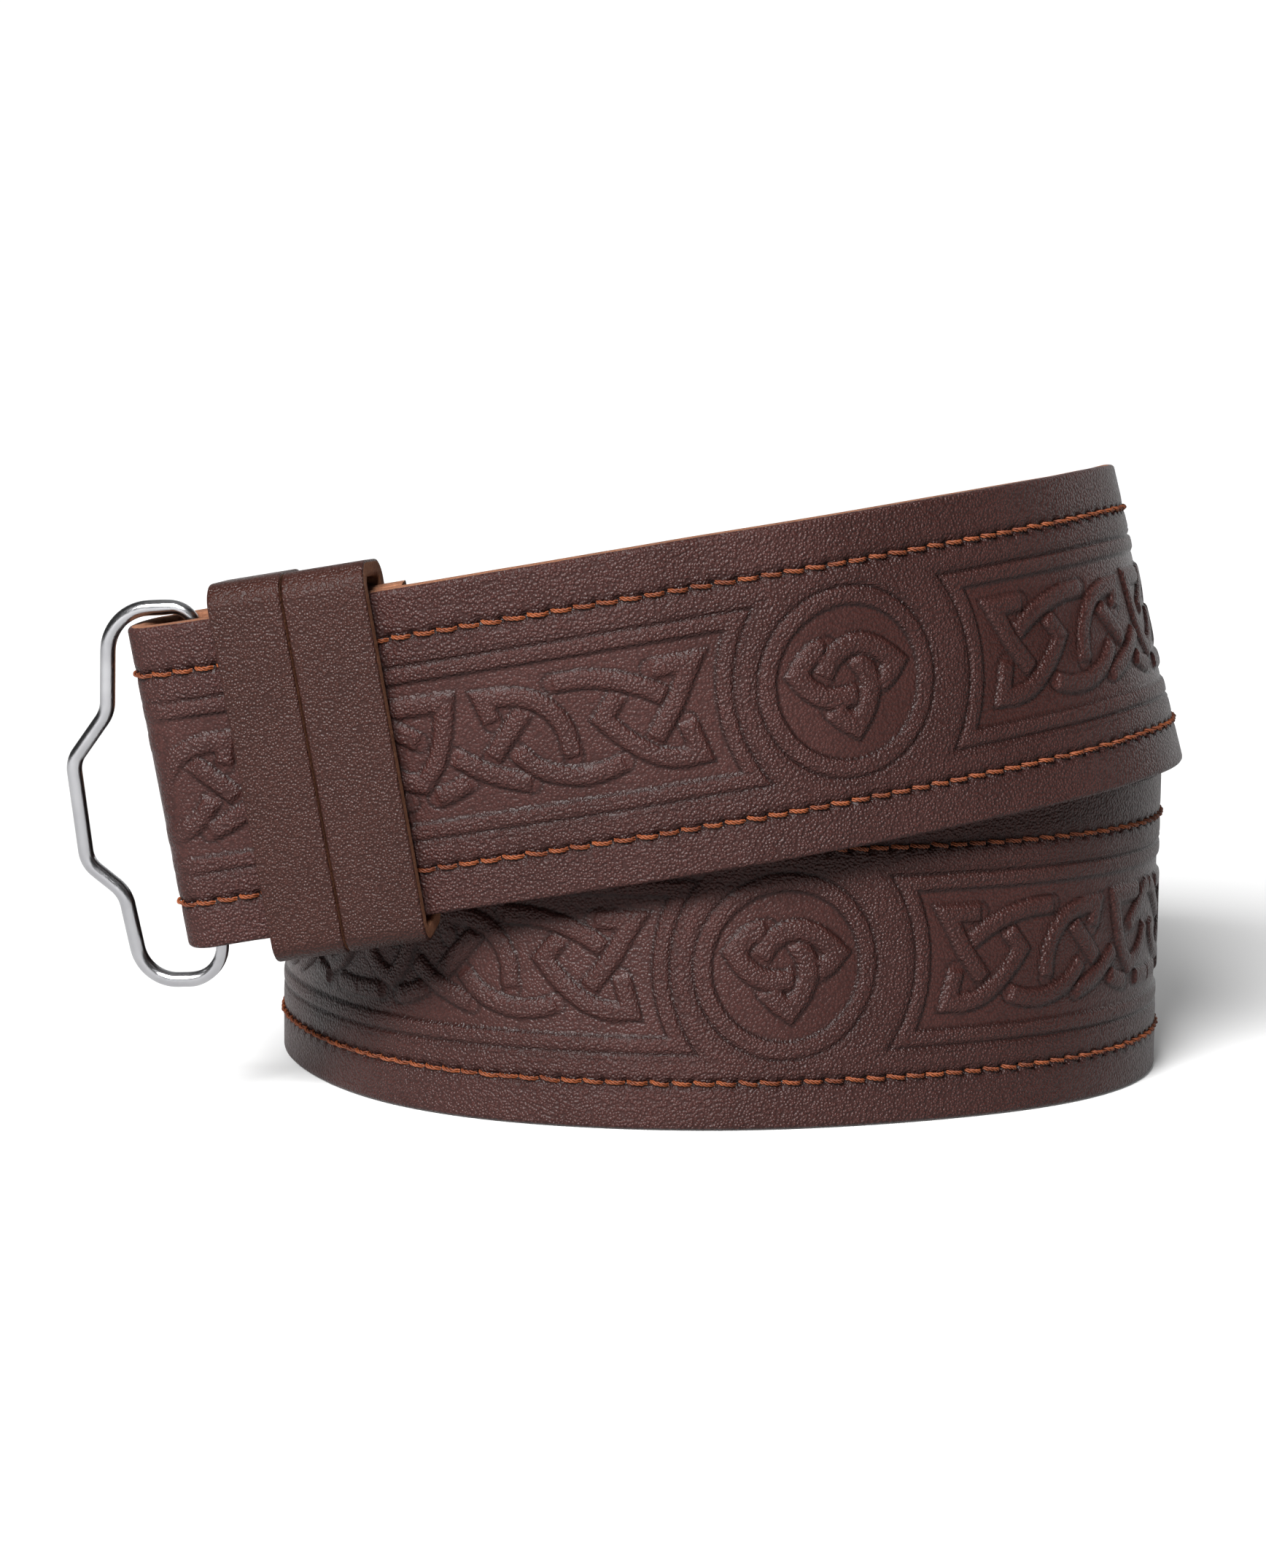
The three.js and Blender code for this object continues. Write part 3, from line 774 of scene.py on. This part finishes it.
def stitch_row(name, side, first, last):
    """A row of twisted stitches at that side of the strap, on its outer face."""
    rng = np.random.default_rng(12 if side > 0 else 11)
    starts = np.arange(math.ceil(first / STITCH_PITCH), math.floor(last / STITCH_PITCH)) * STITCH_PITCH
    t = np.linspace(0, 1, STITCH_STEPS)
    rise = 1 - np.abs(2 * t - 1) ** STITCH_FLATNESS
    turn = np.arange(THREAD_SIDES) * 2 * math.pi / THREAD_SIDES
    ends = np.arange(THREAD_SIDES)
    points, quads, caps = [], [], []
    base = 0
    for start in starts:
        length = STITCH_PITCH * (STITCH_SHARE + 0.03 * rng.standard_normal())
        s = start + STITCH_PITCH / 2 + (t - 0.5) * length
        tilt = (STITCH_SLANT + 0.08 * rng.standard_normal()) * (1 - 2 * t)
        lift = STITCH_SUNK + (STITCH_RISE + 0.06 * rng.standard_normal()) * rise
        phase = rng.uniform(0, 2 * math.pi)
        point, across, face = strap_stations(s)
        centre = point + across * (side * STITCH_ROW + tilt)[:, None] + face * lift[:, None]
        for strand in range(THREAD_STRANDS):
            a = phase + 2 * math.pi * (strand / THREAD_STRANDS + t * length / THREAD_TWIST)
            line = (centre + across * (THREAD_OFFSET * np.cos(a))[:, None]
                    + face * (THREAD_OFFSET * np.sin(a))[:, None])
            heading = unit(np.gradient(line, axis=0))
            right = unit(np.cross(heading, face))
            up = np.cross(right, heading)
            ring = line[:, None] + THREAD_STRAND * (right[:, None] * np.cos(turn)[None, :, None]
                                                    + up[:, None] * np.sin(turn)[None, :, None])
            points.append(ring.reshape(-1, 3))
            quads.append(grid_quads(STITCH_STEPS, THREAD_SIDES) + base)
            caps.append(ends + base)
            caps.append(ends[::-1] + base + (STITCH_STEPS - 1) * THREAD_SIDES)
            base += STITCH_STEPS * THREAD_SIDES
    piece = mesh_object(name, np.vstack(points), np.vstack(quads), caps)
    return piece


# Materials

FLESH_DARK = (0.08, 0.03, 0.015, 1)
FLESH_LIGHT = (0.2, 0.09, 0.05, 1)
FLESH_STAIN = (0.06, 0.022, 0.012, 1)
THREAD_DARK = (0.05, 0.0105, 0.0026, 1)
THREAD_LIGHT = (0.105, 0.0255, 0.0065, 1)
THREAD_SHADE = (0.012, 0.004, 0.002, 1)
STRAP_DARK = (0.0215, 0.0072, 0.0060, 1)
STRAP_LIGHT = (0.0265, 0.0091, 0.0077, 1)
KEEPER_DARK = (0.0180, 0.0056, 0.0040, 1)
KEEPER_LIGHT = (0.0220, 0.0071, 0.0052, 1)
STEEL_DARK = (0.24, 0.24, 0.25, 1)
STEEL_LIGHT = (0.4, 0.4, 0.41, 1)
FLOOR_DARK = (0.42, 0.42, 0.42, 1)
FLOOR_LIGHT = (0.44, 0.44, 0.44, 1)
LEATHER_RELIEF = 0.00018
THREAD_RELIEF = 0.0001
WIRE_RELIEF = 0.0001


def node_maker(material):
    material.use_nodes = True
    tree = material.node_tree
    shader = tree.nodes["Principled BSDF"]

    def add(kind, inputs=None, **settings):
        node = tree.nodes.new(kind)
        for key, value in settings.items():
            setattr(node, key, value)
        for key, value in (inputs or {}).items():
            if isinstance(value, bpy.types.NodeSocket):
                tree.links.new(value, node.inputs[key])
            else:
                node.inputs[key].default_value = value
        return node

    return tree, shader, add


def mix(add, share, first, second):
    node = add("ShaderNodeMix", data_type="RGBA")
    for index, value in ((0, share), (6, first), (7, second)):
        if isinstance(value, bpy.types.NodeSocket):
            node.id_data.links.new(value, node.inputs[index])
        else:
            node.inputs[index].default_value = value
    return node.outputs[2]


def math_node(add, operation, first, second=0.0, clamp=False):
    node = add("ShaderNodeMath", {0: first, 1: second}, operation=operation, use_clamp=clamp)
    return node.outputs[0]


def map_range(add, value, low, high, to_low=0.0, to_high=1.0):
    node = add("ShaderNodeMapRange", {"Value": value, "From Min": low, "From Max": high,
                                      "To Min": to_low, "To Max": to_high})
    return node.outputs[0]


def leather_material(name, colour, light_colour, grain, pebble_size):
    """Grained leather with a dyed face, painted shade in its creases and stitch pits, paler cut edges and a
    fuzzy flesh side.
    """
    material = bpy.data.materials.new(name)
    tree, shader, add = node_maker(material)
    place = add("ShaderNodeTexCoord").outputs["Object"]
    raw = add("ShaderNodeAttribute", attribute_name="raw").outputs["Fac"]
    pressed = add("ShaderNodeAttribute", attribute_name="pressed").outputs["Fac"]
    crease_shade = add("ShaderNodeAttribute", attribute_name="crease_shade").outputs["Fac"]

    cloud = add("ShaderNodeTexNoise", {"Vector": place, "Scale": 45.0, "Detail": 4.0, "Roughness": 0.6})
    speck = add("ShaderNodeTexNoise", {"Vector": place, "Scale": 900.0, "Detail": 3.0, "Roughness": 0.6})
    warp = add("ShaderNodeTexNoise", {"Vector": place, "Scale": 1500.0, "Detail": 2.0})
    shifted = add("ShaderNodeVectorMath", {0: warp.outputs["Color"], 1: (0.00012, 0.00012, 0.00012)},
                  operation="MULTIPLY")
    grain_place = add("ShaderNodeVectorMath", {0: place, 1: shifted.outputs[0]}, operation="ADD")
    pebbles = add("ShaderNodeTexVoronoi", {"Vector": grain_place.outputs[0], "Scale": 1 / pebble_size,
                                           "Smoothness": 0.3}, feature="SMOOTH_F1")
    fine = add("ShaderNodeTexNoise", {"Vector": place, "Scale": 3200.0, "Detail": 3.0, "Roughness": 0.7})

    valley = map_range(add, pebbles.outputs["Distance"], 0.2, 0.75)
    tone = map_range(add, cloud.outputs["Fac"], 0.35, 0.65)
    face_colour = mix(add, tone, colour, light_colour)
    dark = tuple(c * 0.22 for c in colour[:3]) + (1.0,)
    face_colour = mix(add, math_node(add, "MULTIPLY", valley, 0.5), face_colour, dark)
    # Painted shade: the face darkens in the ornament's creases and in the stitch pits
    face_colour = mix(add, math_node(add, "MULTIPLY", crease_shade, 0.9, clamp=True), face_colour, dark)

    fibre = add("ShaderNodeTexNoise", {"Vector": place, "Scale": 1500.0, "Detail": 5.0, "Roughness": 0.75})
    patch = add("ShaderNodeTexNoise", {"Vector": place, "Scale": 120.0, "Detail": 3.0})
    pale = mix(add, map_range(add, fibre.outputs["Fac"], 0.3, 0.7), FLESH_DARK, FLESH_LIGHT)
    pale = mix(add, map_range(add, patch.outputs["Fac"], 0.45, 0.75, 0.0, 0.5), pale, FLESH_STAIN)
    ragged = math_node(add, "MULTIPLY", math_node(add, "SUBTRACT", speck.outputs["Fac"], 0.5), 0.5)
    cut = map_range(add, math_node(add, "ADD", raw, ragged), 0.5, 0.75)
    tree.links.new(mix(add, cut, face_colour, pale), shader.inputs["Base Color"])

    rough = map_range(add, cloud.outputs["Fac"], 0.3, 0.7, 0.3, 0.38)
    rough = math_node(add, "ADD", rough, math_node(add, "MULTIPLY", valley, 0.14))
    rough = math_node(add, "SUBTRACT", rough, math_node(add, "MULTIPLY", pressed, 0.04))
    rough = math_node(add, "ADD", rough, math_node(add, "MULTIPLY", cut, 0.45), clamp=True)
    tree.links.new(rough, shader.inputs["Roughness"])

    calm = math_node(add, "SUBTRACT", 1.0, math_node(add, "MULTIPLY", pressed, 0.5))
    relief = math_node(add, "MULTIPLY", math_node(add, "SUBTRACT", 1.0, valley), calm)
    relief = math_node(add, "ADD", relief, math_node(add, "MULTIPLY", fine.outputs["Fac"], 0.35))
    fuzz = math_node(add, "MULTIPLY", fibre.outputs["Fac"], 2.2)
    surface = add("ShaderNodeMix", {0: cut, 2: relief, 3: fuzz}, data_type="FLOAT")
    bump = add("ShaderNodeBump", {"Height": surface.outputs[0], "Strength": grain,
                                  "Distance": LEATHER_RELIEF})
    tree.links.new(bump.outputs[0], shader.inputs["Normal"])
    shader.inputs["Specular IOR Level"].default_value = 0.12
    return material


def steel_material():
    """Polished wire with fine marks along it."""
    material = bpy.data.materials.new("polished_wire")
    tree, shader, add = node_maker(material)
    place = add("ShaderNodeTexCoord").outputs["Object"]
    round_it = add("ShaderNodeAttribute", attribute_name="across").outputs["Fac"]
    length = add("ShaderNodeAttribute", attribute_name="along").outputs["Fac"]
    lines_at = add("ShaderNodeCombineXYZ", {"X": math_node(add, "MULTIPLY", length, 0.12), "Y": round_it})
    lines = add("ShaderNodeTexNoise", {"Vector": lines_at.outputs[0], "Scale": 7.0, "Detail": 5.0,
                                       "Roughness": 0.7})
    smudge = add("ShaderNodeTexNoise", {"Vector": place, "Scale": 220.0, "Detail": 4.0})
    pits = add("ShaderNodeTexNoise", {"Vector": place, "Scale": 1400.0, "Detail": 3.0})
    tint = mix(add, smudge.outputs["Fac"], STEEL_DARK, STEEL_LIGHT)
    tree.links.new(tint, shader.inputs["Base Color"])
    shader.inputs["Metallic"].default_value = 1.0
    rough = map_range(add, lines.outputs["Fac"], 0.3, 0.7, 0.13, 0.27)
    tree.links.new(rough, shader.inputs["Roughness"])
    both = math_node(add, "ADD", lines.outputs["Fac"], math_node(add, "MULTIPLY", pits.outputs["Fac"], 0.4))
    bump = add("ShaderNodeBump", {"Height": both, "Strength": 0.25, "Distance": WIRE_RELIEF})
    tree.links.new(bump.outputs[0], shader.inputs["Normal"])
    return material


def thread_material():
    """Orange-brown thread with darker fibres."""
    material = bpy.data.materials.new("waxed_thread")
    tree, shader, add = node_maker(material)
    place = add("ShaderNodeTexCoord").outputs["Object"]
    tone = add("ShaderNodeTexNoise", {"Vector": place, "Scale": 260.0, "Detail": 3.0})
    fibre = add("ShaderNodeTexNoise", {"Vector": place, "Scale": 3800.0, "Detail": 3.0})
    colour = mix(add, map_range(add, tone.outputs["Fac"], 0.35, 0.65), THREAD_DARK, THREAD_LIGHT)
    shade = map_range(add, fibre.outputs["Fac"], 0.55, 0.8, 0.0, 0.5)
    colour = mix(add, shade, colour, THREAD_SHADE)
    tree.links.new(colour, shader.inputs["Base Color"])
    shader.inputs["Roughness"].default_value = 0.6
    shader.inputs["Specular IOR Level"].default_value = 0.2
    bump = add("ShaderNodeBump", {"Height": fibre.outputs["Fac"], "Strength": 0.6, "Distance": THREAD_RELIEF})
    tree.links.new(bump.outputs[0], shader.inputs["Normal"])
    return material


def floor_material():
    """Pale paper that glows more towards the back, painted light that keeps it white behind the belt, where
    the lights no longer reach it.
    """
    material = bpy.data.materials.new("pale_floor")
    tree, shader, add = node_maker(material)
    place = add("ShaderNodeTexCoord").outputs["Object"]
    tone = add("ShaderNodeTexNoise", {"Vector": place, "Scale": 3.0, "Detail": 2.0})
    colour = mix(add, tone.outputs["Fac"], FLOOR_DARK, FLOOR_LIGHT)
    tree.links.new(colour, shader.inputs["Base Color"])
    shader.inputs["Roughness"].default_value = 0.9
    shader.inputs["Specular IOR Level"].default_value = 0.1
    # Painted light: the floor glows, faintly in front and more strongly far back
    depth = add("ShaderNodeSeparateXYZ", {0: place}).outputs["Y"]
    tree.links.new(map_range(add, depth, 0.0, 1.0, 0.1, 0.9), shader.inputs["Emission Strength"])
    shader.inputs["Emission Color"].default_value = (1, 1, 1, 1)
    return material


strap_leather = leather_material("strap_leather", STRAP_DARK, STRAP_LIGHT, 1.1, 0.0005)
keeper_leather = leather_material("keeper_leather", KEEPER_DARK, KEEPER_LIGHT, 0.9, 0.00045)
steel = steel_material()
thread = thread_material()

# The pieces: the strap is split under the keepers and at its sides, with finer steps in front

UNDER_KEEPERS = 31.0
RAISED_FRONT_END = 238.0
LOWER_FRONT_START = 500.0
LOWER_FRONT_END = 758.0
FINE_STEP = 0.4
BACK_STEP = 0.8
HIDDEN_STEP = 1.3
LAP_STEP = 1.2
STITCHES_END = 2


def steps(first, last, step):
    return np.linspace(first, last, int(round((last - first) / step)) + 1)


fold = np.concatenate([
    steps(LAP_REACH, NOSE_RADIUS - NOSE_LENGTH, LAP_STEP)[:-1],
    steps(NOSE_RADIUS - NOSE_LENGTH, UNDER_KEEPERS, FINE_STEP),
])
strap_pieces = [
    strap_piece("strap_fold", fold),
    strap_piece("strap_raised_front", steps(UNDER_KEEPERS, RAISED_FRONT_END, FINE_STEP)),
    strap_piece("strap_back", steps(RAISED_FRONT_END, LOWER_FRONT_START, BACK_STEP)),
    strap_piece("strap_floor_front", steps(LOWER_FRONT_START, LOWER_FRONT_END, FINE_STEP)),
    strap_piece("strap_inner_end", steps(LOWER_FRONT_END, ROUTE_LENGTH, HIDDEN_STEP)),
]
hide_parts("strap")
for piece in strap_pieces:
    piece.data.materials.append(strap_leather)
    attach(piece, "belt")

keepers = [
    keeper_band("left_keeper", -KEEPER_GAP / 2 - KEEPER_LEFT_WIDTH, KEEPER_LEFT_WIDTH),
    keeper_band("right_keeper", KEEPER_GAP / 2, KEEPER_RIGHT_WIDTH),
]
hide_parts("keeper_left")
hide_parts("keeper_right")
for piece in keepers:
    piece.data.materials.append(keeper_leather)
    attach(piece, "belt")

loop = wire_loop()
loop.data.materials.append(steel)
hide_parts("buckle_loop")
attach(loop, "loop")

threads = [
    stitch_row("thread_upper_row", 1, LAP_REACH + STITCHES_END, ROUTE_LENGTH - STITCHES_END),
    stitch_row("thread_lower_row", -1, LAP_REACH + STITCHES_END, ROUTE_LENGTH - STITCHES_END),
]
for piece in threads:
    piece.data.materials.append(thread)
    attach(piece, "belt")

# Floor, light and camera

bpy.ops.mesh.primitive_plane_add(size=60.0, location=(0, 0, -0.0002))
floor = bpy.context.object
floor.name = "floor"
floor.data.materials.append(floor_material())


def area_light(name, place, target, size, power, colour=(1, 1, 1)):
    data = bpy.data.lights.new(name, "AREA")
    data.shape = "RECTANGLE"
    data.size, data.size_y = size
    data.energy = power
    data.color = colour
    light = bpy.data.objects.new(name, data)
    light.location = place
    light.rotation_euler = (Vector(target) - Vector(place)).to_track_quat("-Z", "Y").to_euler()
    bpy.context.scene.collection.objects.link(light)


area_light("front_box", (-0.42, -1.2, 0.85), (0, 0, 0.06), (0.6, 0.4), 106.0)
area_light("right_box", (1.2, 1.1, 0.4), (0, 0, 0.06), (0.5, 0.6), 2.0)

sky = bpy.data.lights.new("overhead", "SUN")
sky.energy = 0.25
sky.angle = math.radians(60)
overhead = bpy.data.objects.new("overhead", sky)
overhead.rotation_euler = (math.radians(-6), math.radians(4), 0)
bpy.context.scene.collection.objects.link(overhead)

world = bpy.data.worlds.new("studio")
world.use_nodes = True
background = world.node_tree.nodes["Background"]
direction = world.node_tree.nodes.new("ShaderNodeTexCoord")
towards = world.node_tree.nodes.new("ShaderNodeVectorMath")
towards.operation = "DOT_PRODUCT"
towards.inputs[1].default_value = (0.22, 0.975, 0.0)
fade = world.node_tree.nodes.new("ShaderNodeMapRange")
world.node_tree.links.new(direction.outputs["Generated"], towards.inputs[0])
world.node_tree.links.new(towards.outputs["Value"], fade.inputs["Value"])
fade.inputs["From Min"].default_value = 0.5
fade.inputs["From Max"].default_value = 0.86
fade.inputs["To Min"].default_value = 0.05
fade.inputs["To Max"].default_value = 1.05
world.node_tree.links.new(fade.outputs[0], background.inputs["Strength"])
background.inputs["Color"].default_value = (1, 1, 1, 1)
scene = bpy.context.scene
scene.world = world
scene.view_settings.view_transform = "Standard"
scene.view_settings.look = "None"

CAMERA_PITCH = math.radians(6.387)
CAMERA_ROLL = math.radians(0.55)
CAMERA_FROM_COIL = Vector((-15.5, 12 - 670.9, 124.8))
CAMERA_LENS = 77.74
camera_data = bpy.data.cameras.new("camera")
camera_data.lens = CAMERA_LENS
camera_data.sensor_width = 36.0
camera_data.clip_start = 0.01
camera_data.clip_end = 50.0
camera = bpy.data.objects.new("camera", camera_data)
scene.collection.objects.link(camera)
aim = Euler((math.pi / 2 - CAMERA_PITCH, 0, 0)).to_matrix().to_4x4() @ Matrix.Rotation(CAMERA_ROLL, 4, "Z")
camera.matrix_world = Matrix.Translation((Vector(SHIFT) + CAMERA_FROM_COIL) * MM) @ aim
scene.camera = camera
